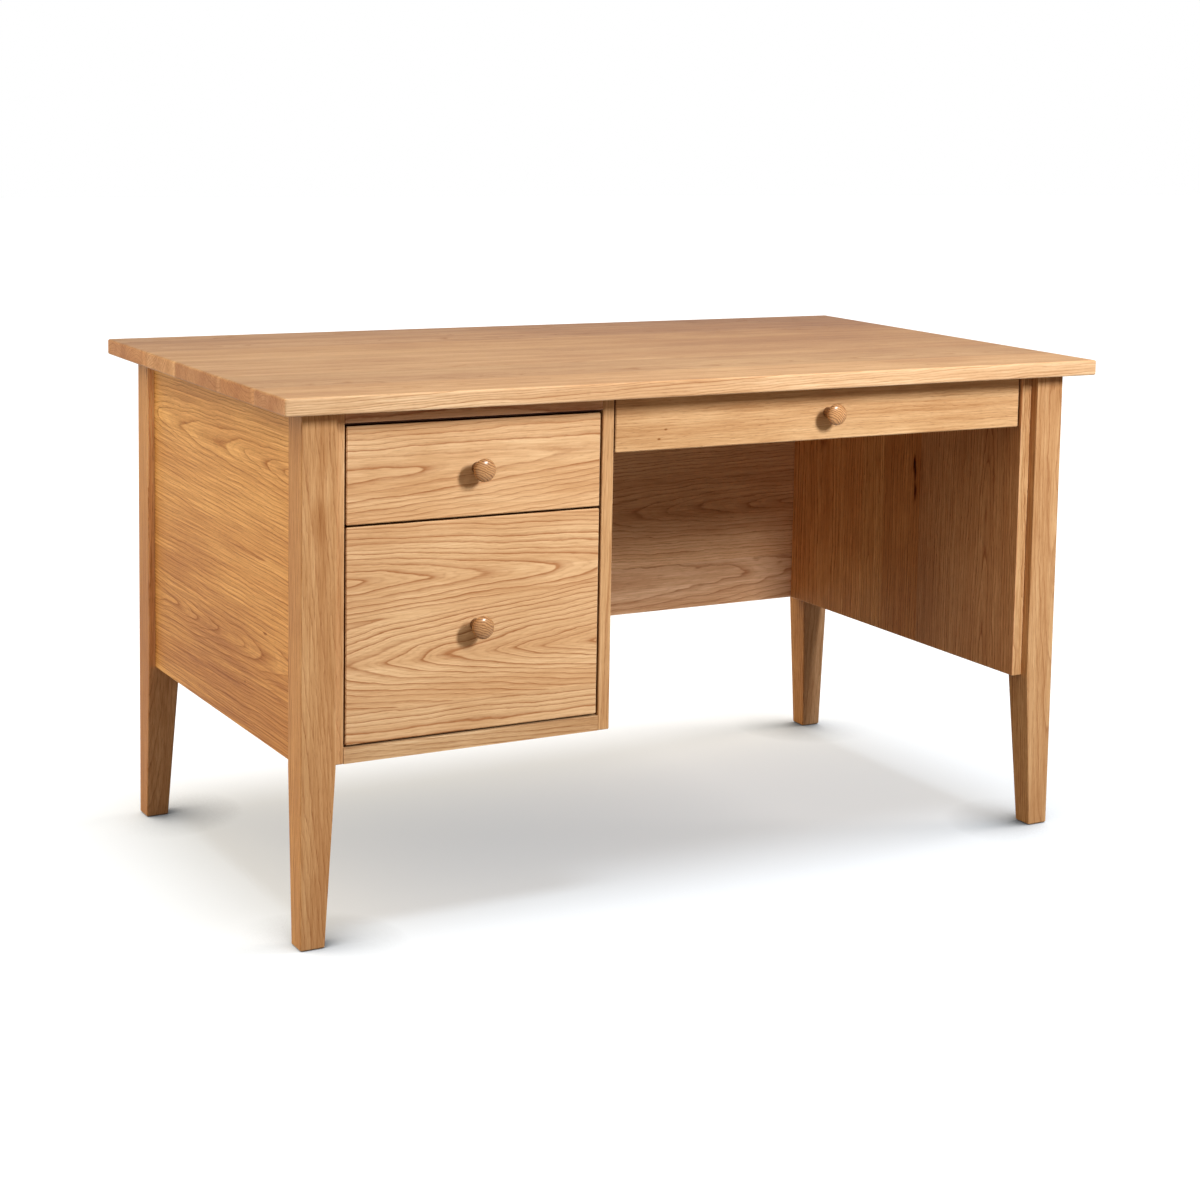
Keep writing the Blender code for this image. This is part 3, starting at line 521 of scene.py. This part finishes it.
# Back panel: three staves. The upper stave's pale tone and the broad pale mark are painted light on its
# shaded upper part.
BACK_STAVES_AND_PAINTED_LIGHT = [Stave(NO_START, wild_hearts(5, 0.248, 0.330, 0.4), (1.05, 1.00, 1.08)),
               Stave(0.330, (Heart(0.428, 0.0, 0.060, -0.08),), (1.10, 1.03, 1.05)),
               Stave(0.560, wild_hearts(6, 0.560, 0.737, 0.5), (1.27, 1.14, 1.02))]
board("back_panel", "x", "z", seed=97, staves=BACK_STAVES_AND_PAINTED_LIGHT, ring=0.0060, contrast=1.1,
      marks=[Mark(0.0, 0.56, 3.0, 0.16, -0.14)])

# Pedestal sides and bottom
for node, seed, starts, tint in (
        ("pedestal_side_left", 103, [-0.338, -0.190, -0.040, 0.110], (0.84, 0.75, 0.65)),
        ("pedestal_side_right", 109, [-0.338, -0.170, -0.010, 0.150], (0.80, 0.70, 0.60))):
    board(node, "z", "y", seed, starts, ring=0.006, contrast=0.6, wave=0.3, tint=tint)
board("pedestal_bottom", "x", "y", seed=131, starts=[-0.338, -0.180, -0.020, 0.140], tint=(0.82, 0.79, 0.76))

# Lining of the kneehole, with a knot
LINING_SEED = 127
LINING_STARTS = [-0.342, -0.072, 0.036, 0.099]
LINING_BACK = 0.325
LINING_TONES = [(0.86, 0.81, 0.86), (0.90, 0.76, 0.63), (1.07, 1.01, 0.90), (1.16, 1.08, 0.97)]
LINING_MARKS = [Mark(0.552, -0.051, 0.024, 0.006, 0.85), Mark(0.535, -0.055, 0.018, 0.005, 0.70),
                Mark(0.506, -0.056, 0.026, 0.005, 0.75), Mark(0.530, -0.064, 0.070, 0.026, 0.16)]
lining = strips(LINING_SEED, LINING_STARTS, LINING_BACK, tones=LINING_TONES)
lining[0] = lining[0]._replace(hearts=(Heart(-0.258, 0.0, 0.034, 0.045, 0.0, 1.6),))
board("kneehole_side_right", "z", "y", LINING_SEED, staves=lining, ring=0.0055, contrast=1.3, fine=1.4,
      marks=LINING_MARKS, tint=(1.13, 1.01, 0.85), edge_tint=(0.84, 0.92, 0.91))

# Rails of the pedestal. The front one ends in a painted shadow line over the box drawer, and its edges carry
# painted gap shade.
PAINTED_GAP_SHADE = (0.20, 0.11, 0.04)
RAIL_SEED = 139
RAIL_SHADOW_LINE = 0.0019
RAIL_SHADOW_TONE = (0.05, 0.02, 0.01)
rail_low, rail_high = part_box("pedestal_top_rail_front")
rail_hearts = wild_hearts(RAIL_SEED, rail_low[2], rail_high[2], 0.8)
rail_staves = [Stave(NO_START, rail_hearts, RAIL_SHADOW_TONE), Stave(rail_low[2] + RAIL_SHADOW_LINE, rail_hearts)]
board("pedestal_top_rail_front", "x", "z", RAIL_SEED, staves=rail_staves, tint=(0.96, 0.90, 0.97),
      edge_tint=PAINTED_GAP_SHADE)
board("pedestal_top_rail_back", "x", "z", seed=140, tint=(0.80, 0.73, 0.73))

# Drawer fronts. Their edges carry painted gap shade where something lies this close to them.
GAP_REACH = 0.02
FILE_STAVES = [
    Stave(NO_START, (Heart(0.05, 0.0, 0.25, 0.0),)),
    Stave(0.318, (Heart(0.496, 0.0, 0.040, 0.070, 0.038, 1.6), Heart(0.385, 0.0, 0.054, -0.13, 0.0, 1.35)),
          grey(1.04))]
BOX_STAVES = [Stave(NO_START, (Heart(0.655, 0.04, 0.052, 0.035, 0.0, 1.6),), grey(1.07))]
CENTRE_STAVES = [Stave(NO_START, (Heart(0.40, 0.03, 0.12, 0.05),), (0.92, 0.87, 0.80))]
CENTRE_MARKS = [Mark(-0.076, 0.684, 0.004, 0.0025, 0.45), Mark(-0.087, 0.671, 0.004, 0.0025, 0.50)]
board("file_drawer_front", "x", "z", seed=151, staves=FILE_STAVES, ring=0.0068, contrast=1.5, wave=0.36,
      wiggle=0.5, fine=0.6, edge_tint=PAINTED_GAP_SHADE, gap=GAP_REACH)
# The box front's broad mark along its top is a painted shadow of the overhanging top.
board("box_drawer_front", "x", "z", seed=163, staves=BOX_STAVES, ring=0.0066, contrast=1.1, wave=0.36,
      wiggle=0.5, fine=0.7, marks=[Mark(-0.36, rail_low[2], 5.0, 0.030, 0.07)], edge_tint=PAINTED_GAP_SHADE,
      gap=GAP_REACH)
board("centre_drawer_front", "x", "z", seed=173, staves=CENTRE_STAVES, ring=0.0045, contrast=0.50,
      marks=CENTRE_MARKS, edge_tint=PAINTED_GAP_SHADE, gap=GAP_REACH)

# Pale wood of the drawer boxes and cleats, and plywood
PALE_LIGHT = (0.760, 0.570, 0.370)
PALE_DEEP = (0.620, 0.430, 0.250)
PLY_LIGHT = (0.740, 0.560, 0.370)
PLY_DEEP = (0.640, 0.460, 0.280)
PALE_ALONG = 0.40
PALE_ACROSS = 0.012
# Fibres are so many times finer than stripes
PALE_FINER = 7
PALE_SWAY = Texture((0.25, 0.25, 0.08), 0)
PALE_SWAY_REACH = 0.012
PALE_STRIPE_SEED = 1
PALE_STRIPE_DETAIL = (3.0, 0.6)
PALE_FIBRE_SEED = 2
PALE_FIBRE_SHADE = 0.10
PALE_FLECK = Texture(grey(0.004), 3, 1.0)
PALE_FLECK_SPAN = (0.62, 0.75)
PALE_FLECK_SHADE = -0.06
PALE_ROUGHNESS = (0.46, 0.58)
PALE_RELIEF = 0.00008
PALE_SPECULAR = 0.25
# Plies: their thickness, where one turns into the next, and their shades
PLY_THICKNESS = 0.0012
PLY_TURN = (0.0005, 0.0007)
PLY_SHADE = (0.62, 1.02)
PLY_FACE = (0.4, 0.6)


def pale_wood(name, along, seed, light, deep, ply=False):
    """Straight-grained pale wood, or plywood with its plies at the edges."""
    net = Net(bpy.data.materials.new(name))
    coordinates = net.new("ShaderNodeTexCoord")
    place = coordinates.outputs["Object"]
    lengths = [PALE_ALONG if axis == along else PALE_ACROSS for axis in AXES]
    stripes = Texture(lengths, PALE_STRIPE_SEED, *PALE_STRIPE_DETAIL)
    fibres = Texture([length / PALE_FINER for length in lengths], PALE_FIBRE_SEED)
    sway = net.noise(place, PALE_SWAY, seed, "Color")
    stripe = net.noise(net.vector("ADD", place, net.scaled(sway, PALE_SWAY_REACH)), stripes, seed)
    fibre = net.noise(place, fibres, seed)
    fleck = net.span(net.noise(place, PALE_FLECK, seed), PALE_FLECK_SPAN)
    base = net.mix(net.span(stripe, NOISE_MIDDLE), light, deep)
    shade = net.total(net.span(fibre, NOISE_BROAD, swing(PALE_FIBRE_SHADE), False),
                      net.math("MULTIPLY", fleck, PALE_FLECK_SHADE), 1.0)
    if ply:
        upright = net.math("ABSOLUTE", net.split(coordinates.outputs["Normal"])[2])
        plies = net.span(net.math("PINGPONG", net.split(place)[2], PLY_THICKNESS), PLY_TURN, PLY_SHADE)
        shade = net.math("MULTIPLY", shade, net.blend(net.span(upright, PLY_FACE), plies, 1.0))
    roughness = net.span(fibre, NOISE_BROAD, PALE_ROUGHNESS)
    return net.surface(net.scaled(base, shade), roughness, fibre, PALE_RELIEF,
                       Specular_IOR_Level=PALE_SPECULAR)


BOX_WOODS = {along: pale_wood(f"pale_wood_{along}", along, seed, PALE_LIGHT, PALE_DEEP)
             for along, seed in (("x", 301), ("y", 311))}
PLYWOOD = pale_wood("plywood", "x", 321, PLY_LIGHT, PLY_DEEP, ply=True)
for drawer in ("box", "file", "centre"):
    for part in ("box_front", "back"):
        dress(f"{drawer}_drawer_{part}", BOX_WOODS["x"])
    for part in ("side_left", "side_right"):
        dress(f"{drawer}_drawer_{part}", BOX_WOODS["y"])
    dress(f"{drawer}_drawer_bottom", PLYWOOD)
dress("top_cleat_back", BOX_WOODS["x"])
for node in ("top_cleat_left", "top_cleat_right"):
    dress(node, BOX_WOODS["y"])

# Zinc-plated steel of the slides and screws, drawn along the desk's depth
ZINC_SEED = 3
ZINC_DARK = (0.50, 0.51, 0.53)
ZINC_BRIGHT = (0.66, 0.67, 0.69)
ZINC_SPANGLE = Texture((0.004, 0.006, 0.004), 0)
ZINC_DRAWN = Texture((0.0008, 0.12, 0.0008), 1)
ZINC_ROUGHNESS = (0.28, 0.44)
ZINC_RELIEF = 0.00005


def steel():
    net = Net(bpy.data.materials.new("zinc_steel"))
    place = net.new("ShaderNodeTexCoord").outputs["Object"]
    drawn = net.noise(place, ZINC_DRAWN, ZINC_SEED)
    base = net.mix(net.noise(place, ZINC_SPANGLE, ZINC_SEED), ZINC_DARK, ZINC_BRIGHT)
    return net.surface(base, net.span(drawn, NOISE_MIDDLE, ZINC_ROUGHNESS), drawn, ZINC_RELIEF, Metallic=1.0)


zinc = steel()
for node in NODES:
    if "_slide_" in node or node.endswith("_screw"):
        dress(node, zinc)

# Knobs: turned on the lathe with the grain along their axis, so that the cap shows the rings as stripes
KNOB_LIGHT = (0.620, 0.335, 0.145)
KNOB_STRIPE = (0.215, 0.080, 0.024)
KNOB_RING = 0.0033
# The stripes bow with the square of the distance from the middle
KNOB_BOW = 9.0
KNOB_FRAY = Texture((0.0014, 0.012, 0.0014), 0)
KNOB_FRAY_REACH = 0.5
KNOB_DRIFT = Texture((0.012, 0.030, 0.012), 1)
KNOB_DRIFT_REACH = 2.2
KNOB_LINE_RISE = (0.72, 1.0)
KNOB_LINE_FADE = (0.0, 0.55)
KNOB_VIGOUR_SEED = 2
KNOB_VIGOUR_LENGTH = 1.3
KNOB_VIGOUR = (0.60, 1.0)
KNOB_FIBRE = Texture((0.0008, 0.006, 0.0008), 3)
KNOB_FIBRE_SHADE = (0.88, 1.12)
# The neck is darker than the cap: painted shade
KNOB_NECK = (-0.0215, -0.0130)
KNOB_NECK_PAINTED_SHADE = 0.55
KNOB_ROUGHNESS = 0.27
KNOB_LINE_ROUGHNESS = 0.06
KNOB_RELIEF = -0.00004
KNOB_SPECULAR = 0.28
# Radius and height of the turned outline from its seat up, in metres, to the widest place of the cap
KNOB_OUTLINE = ((0.0085, 0.0000), (0.0083, 0.0012), (0.0079, 0.0034), (0.00775, 0.0060), (0.0079, 0.0090),
                (0.0085, 0.0122), (0.0096, 0.0150), (0.0115, 0.0175), (0.0138, 0.0199), (0.0155, 0.0221),
                (0.0164, 0.0245))
KNOB_CROWN = 0.0345
KNOB_STEPS = 96
KNOB_CROWN_STEPS = 14


def knob_wood(name, centre, tilt, seed, tone):
    """Close-grained oak, polished, with its rings as stripes that slope across the cap."""
    net = Net(bpy.data.materials.new(name))
    place = net.new("ShaderNodeTexCoord").outputs["Object"]
    local = net.vector("SUBTRACT", place, centre)
    x, y, z = net.split(local)
    slope = net.math("MULTIPLY_ADD", x, math.sin(tilt), net.math("MULTIPLY", z, math.cos(tilt)))
    cross = net.math("MULTIPLY_ADD", x, math.cos(tilt), net.math("MULTIPLY", z, -math.sin(tilt)))
    bow = net.math("MULTIPLY", net.math("MULTIPLY", cross, cross), KNOB_BOW)
    turns = net.total(net.math("DIVIDE", net.math("ADD", slope, bow), KNOB_RING),
                      wander(net, net.noise(local, KNOB_FRAY, seed), KNOB_FRAY_REACH),
                      wander(net, net.noise(local, KNOB_DRIFT, seed), KNOB_DRIFT_REACH))
    phase = net.math("FRACT", turns)
    line = net.math("MAXIMUM", net.span(phase, KNOB_LINE_RISE), net.span(phase, KNOB_LINE_FADE, (1.0, 0.0)))
    vigour = net.line_noise(turns, KNOB_VIGOUR_LENGTH, seed + KNOB_VIGOUR_SEED)
    line = net.math("MULTIPLY", line, net.span(vigour, NOISE_MIDDLE, KNOB_VIGOUR))
    base = net.mix(line, KNOB_LIGHT, KNOB_STRIPE)
    shade = net.span(net.noise(local, KNOB_FIBRE, seed), NOISE_BROAD, KNOB_FIBRE_SHADE)
    neck = net.span(y, KNOB_NECK, (1.0, KNOB_NECK_PAINTED_SHADE))
    base = net.scaled(base, net.math("MULTIPLY", net.math("MULTIPLY", shade, neck), tone))
    roughness = net.math("MULTIPLY_ADD", line, KNOB_LINE_ROUGHNESS, KNOB_ROUGHNESS)
    return net.surface(base, roughness, line, KNOB_RELIEF, Specular_IOR_Level=KNOB_SPECULAR)


def turn_knob(drawer, tilt, seed, tone):
    """A smooth knob in the place of the turned solid, with its seat on the drawer front."""
    node = f"{drawer}_drawer_knob"
    low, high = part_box(node)
    x, z = (low[0] + high[0]) / 2, (low[2] + high[2]) / 2
    seat = high[1]
    radius, height = KNOB_OUTLINE[-1]
    crown = [(radius * math.cos(step), height + (KNOB_CROWN - height) * math.sin(step))
             for step in (math.pi / 2 * i / KNOB_CROWN_STEPS for i in range(1, KNOB_CROWN_STEPS))]
    shape = bmesh.new()
    rings = []
    for r, h in (*KNOB_OUTLINE, *crown):
        rings.append([shape.verts.new((x + r * math.cos(turn), seat - h, z + r * math.sin(turn)))
                      for turn in (2 * math.pi * i / KNOB_STEPS for i in range(KNOB_STEPS))])
    tip = shape.verts.new((x, seat - KNOB_CROWN, z))
    for below, above in zip(rings, rings[1:]):
        for i in range(KNOB_STEPS):
            j = (i + 1) % KNOB_STEPS
            shape.faces.new((below[i], below[j], above[j], above[i]))
    for i in range(KNOB_STEPS):
        shape.faces.new((rings[-1][i], rings[-1][(i + 1) % KNOB_STEPS], tip))
    seat_face = shape.faces.new(rings[0][::-1])
    bmesh.ops.recalc_face_normals(shape, faces=shape.faces)
    for face in shape.faces:
        face.smooth = True
    seat_face.smooth = False
    mesh = bpy.data.meshes.new(f"{drawer}_knob_turned")
    shape.to_mesh(mesh)
    shape.free()
    mesh.materials.append(knob_wood(f"knob_oak_{drawer}", (x, seat, z), math.radians(tilt), seed, tone))
    knob = bpy.data.objects.new(f"{drawer}_knob_turned", mesh)
    bpy.context.scene.collection.objects.link(knob)
    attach(knob, f"{drawer}_drawer")
    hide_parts(node)
    return knob


# Drawer, slope of the stripes in degrees, seed and tone of each knob
KNOBS = [turn_knob(*knob) for knob in (("box", 27.0, 401, 0.96), ("file", 24.0, 411, 0.90),
                                       ("centre", 38.0, 421, 1.12))]

# Camera
CAMERA_PLACE = (-1.76441, -3.30988, 1.16842)
CAMERA_ANGLES = (83.44604, -1.34797, -31.20331)
camera_data = bpy.data.cameras.new("camera")
camera_data.sensor_width = 36.0
camera_data.lens = 71.306
camera_data.shift_x = -0.116668
camera_data.shift_y = -0.193679
camera = bpy.data.objects.new("camera", camera_data)
camera.location = CAMERA_PLACE
camera.rotation_euler = [math.radians(angle) for angle in CAMERA_ANGLES]
bpy.context.scene.collection.objects.link(camera)
bpy.context.scene.camera = camera


def seen_directly(net):
    """One for camera, glossy and transmission rays, nothing for the light that falls on the object."""
    rays = net.new("ShaderNodeLightPath").outputs
    either = net.math("MAXIMUM", rays["Is Camera Ray"], rays["Is Glossy Ray"])
    return net.math("MAXIMUM", either, rays["Is Transmission Ray"])


# Floor: white paper that is lit as usual, with enough glow of its own to read as white
FLOOR_SIZE = 40.0
FLOOR_PLACE = (0.0, 0.0, -0.0003)
FLOOR_BOUNCE = (0.142, 0.128, 0.112)
FLOOR_SEEN = (0.455, 0.50, 0.55)
FLOOR_GLOW = 0.42
FLOOR_GLOW_COLOUR = (0.945, 1.0, 1.055)
# Paper is shaded this close to what stands on it, most on the inner sides of the feet: there it faces
# them, as its sight leans outward, the more the further it lies from the middle of the desk
CONTACT_REACH = 0.12
CONTACT_LEAN = (1.8, 2.2, 0.0)
CONTACT_POWER = 1.7
CONTACT_SAMPLES = 6
floor_shape = bmesh.new()
bmesh.ops.create_grid(floor_shape, x_segments=2, y_segments=2, size=FLOOR_SIZE / 2)
floor_mesh = bpy.data.meshes.new("floor")
floor_shape.to_mesh(floor_mesh)
floor_shape.free()
floor = bpy.data.objects.new("floor", floor_mesh)
floor.location = FLOOR_PLACE
bpy.context.scene.collection.objects.link(floor)
floor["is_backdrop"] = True
paper = Net(bpy.data.materials.new("floor_paper"))
seen = seen_directly(paper)
floor_spot = paper.new("ShaderNodeTexCoord").outputs["Object"]
lean = paper.vector("NORMALIZE", paper.vector("MULTIPLY_ADD", floor_spot, CONTACT_LEAN, UP))
contact = paper.math("POWER", paper.open_air(CONTACT_REACH, CONTACT_SAMPLES, lean), CONTACT_POWER)
matt = paper.new("ShaderNodeBsdfDiffuse")
paper.feed(matt.inputs["Color"], paper.scaled(paper.mix(seen, FLOOR_BOUNCE, FLOOR_SEEN), contact))
glow = paper.new("ShaderNodeEmission")
paper.feed(glow.inputs["Color"], colour(FLOOR_GLOW_COLOUR))
paper.feed(glow.inputs["Strength"], paper.math("MULTIPLY", contact, paper.math("MULTIPLY", seen, FLOOR_GLOW)))
both = paper.new("ShaderNodeAddShader")
paper.feed(both.inputs[0], matt.outputs[0])
paper.feed(both.inputs[1], glow.outputs[0])
paper.feed(paper.new("ShaderNodeOutputMaterial").inputs["Surface"], both.outputs[0])
floor_mesh.materials.append(paper.owner)

# Room light: an even level, with a broad bright wall at the left and behind
ROOM_LEVEL = 0.22
ROOM_COLOUR = (1.0, 0.86, 0.70)
WALL_LEVEL = 2.18
WALL_COLOUR = (1.0, 0.735, 0.41)
WALL_SIDE = (-0.72, 0.54, 0.44)
room = bpy.data.worlds.new("room")
air = Net(room)
toward = air.new("ShaderNodeVectorMath", operation="DOT_PRODUCT")
air.feed(toward.inputs[0], air.new("ShaderNodeTexCoord").outputs["Generated"])
air.feed(toward.inputs[1], WALL_SIDE)
lobe = air.math("MAXIMUM", toward.outputs["Value"], 0.0)
level = air.math("MULTIPLY_ADD", air.math("MULTIPLY", lobe, lobe), WALL_LEVEL, ROOM_LEVEL)
warmth = air.math("DIVIDE", air.math("SUBTRACT", level, ROOM_LEVEL), level)
backdrop = seen_directly(air)
sky = air.new("ShaderNodeBackground")
air.feed(sky.inputs["Color"], air.mix(backdrop, air.mix(warmth, ROOM_COLOUR, WALL_COLOUR), WHITE))
air.feed(sky.inputs["Strength"], air.blend(backdrop, level, 1.0))
air.feed(air.new("ShaderNodeOutputWorld").inputs["Surface"], sky.outputs[0])
bpy.context.scene.world = room


def group(name, members):
    made = bpy.data.collections.new(name)
    for member in members:
        made.objects.link(member)
    return made


def lamp(name, kind, side, receivers, blockers=None, **settings):
    """A lamp that shines from that side on the receivers alone, blocked by all or by the blockers."""
    data = bpy.data.lights.new(name, kind)
    for key, value in settings.items():
        setattr(data, key, value)
    made = bpy.data.objects.new(name, data)
    made.rotation_euler = side.to_track_quat("Z", "Y").to_euler()
    bpy.context.scene.collection.objects.link(made)
    made.light_linking.receiver_collection = group(f"lit_by_{name}", receivers)
    if blockers:
        made.light_linking.blocker_collection = group(f"blocks_{name}", blockers)
    return made


def soft_box(name, place, target, receivers, blockers=None, **settings):
    """An area lamp at a place, turned to its target."""
    made = lamp(name, "AREA", place - target, receivers, blockers, **settings)
    made.location = place
    return made


# Key: a tall soft box at the front right of the desk, without a highlight of its own on the wood
KEY_PLACE = Vector((0.67, -2.57, 1.79))
KEY_TARGET = Vector((0.0, -0.33, 0.50))
key = soft_box("key", KEY_PLACE, KEY_TARGET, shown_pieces(), shape="RECTANGLE", energy=70.0, size=0.35,
               size_y=0.62)
key.visible_glossy = False

# Ceiling: a soft box over the sitter, which lights the top
CEILING_PLACE = Vector((-0.05, -1.40, 2.45))
CEILING_TARGET = Vector((0.0, 0.0, 0.76))
soft_box("ceiling", CEILING_PLACE, CEILING_TARGET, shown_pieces(), shape="DISK", energy=5.0, size=0.55)

# Spark: the spot of light that shines on each knob
SPARK_PLACE = Vector((0.35, -1.58, 2.45))
SPARK_TARGET = Vector((-0.10, -0.39, 0.60))
spark = soft_box("spark", SPARK_PLACE, SPARK_TARGET, KNOBS, KNOBS, shape="DISK", energy=105.0, size=0.46)
spark.visible_diffuse = False

# Two lights of the floor alone: one overhead, whose shadow lies under the desk, and a low one at the right,
# whose shadow reaches out to the left
OVERHEAD_SIDE = Vector((0.0, -0.09, 1.0))
OVERHEAD_COLOUR = (0.89, 0.945, 1.0)
LOW_SIDE = Vector((1.0, -0.15, 0.36))
LOW_COLOUR = (1.0, 0.83, 0.70)
lamp("overhead", "SUN", OVERHEAD_SIDE, [floor], color=OVERHEAD_COLOUR, energy=2.6, angle=math.radians(25))
lamp("low_side", "SUN", LOW_SIDE, [floor], color=LOW_COLOUR, energy=3.7, angle=math.radians(34))

bpy.context.scene.view_settings.view_transform = "Standard"
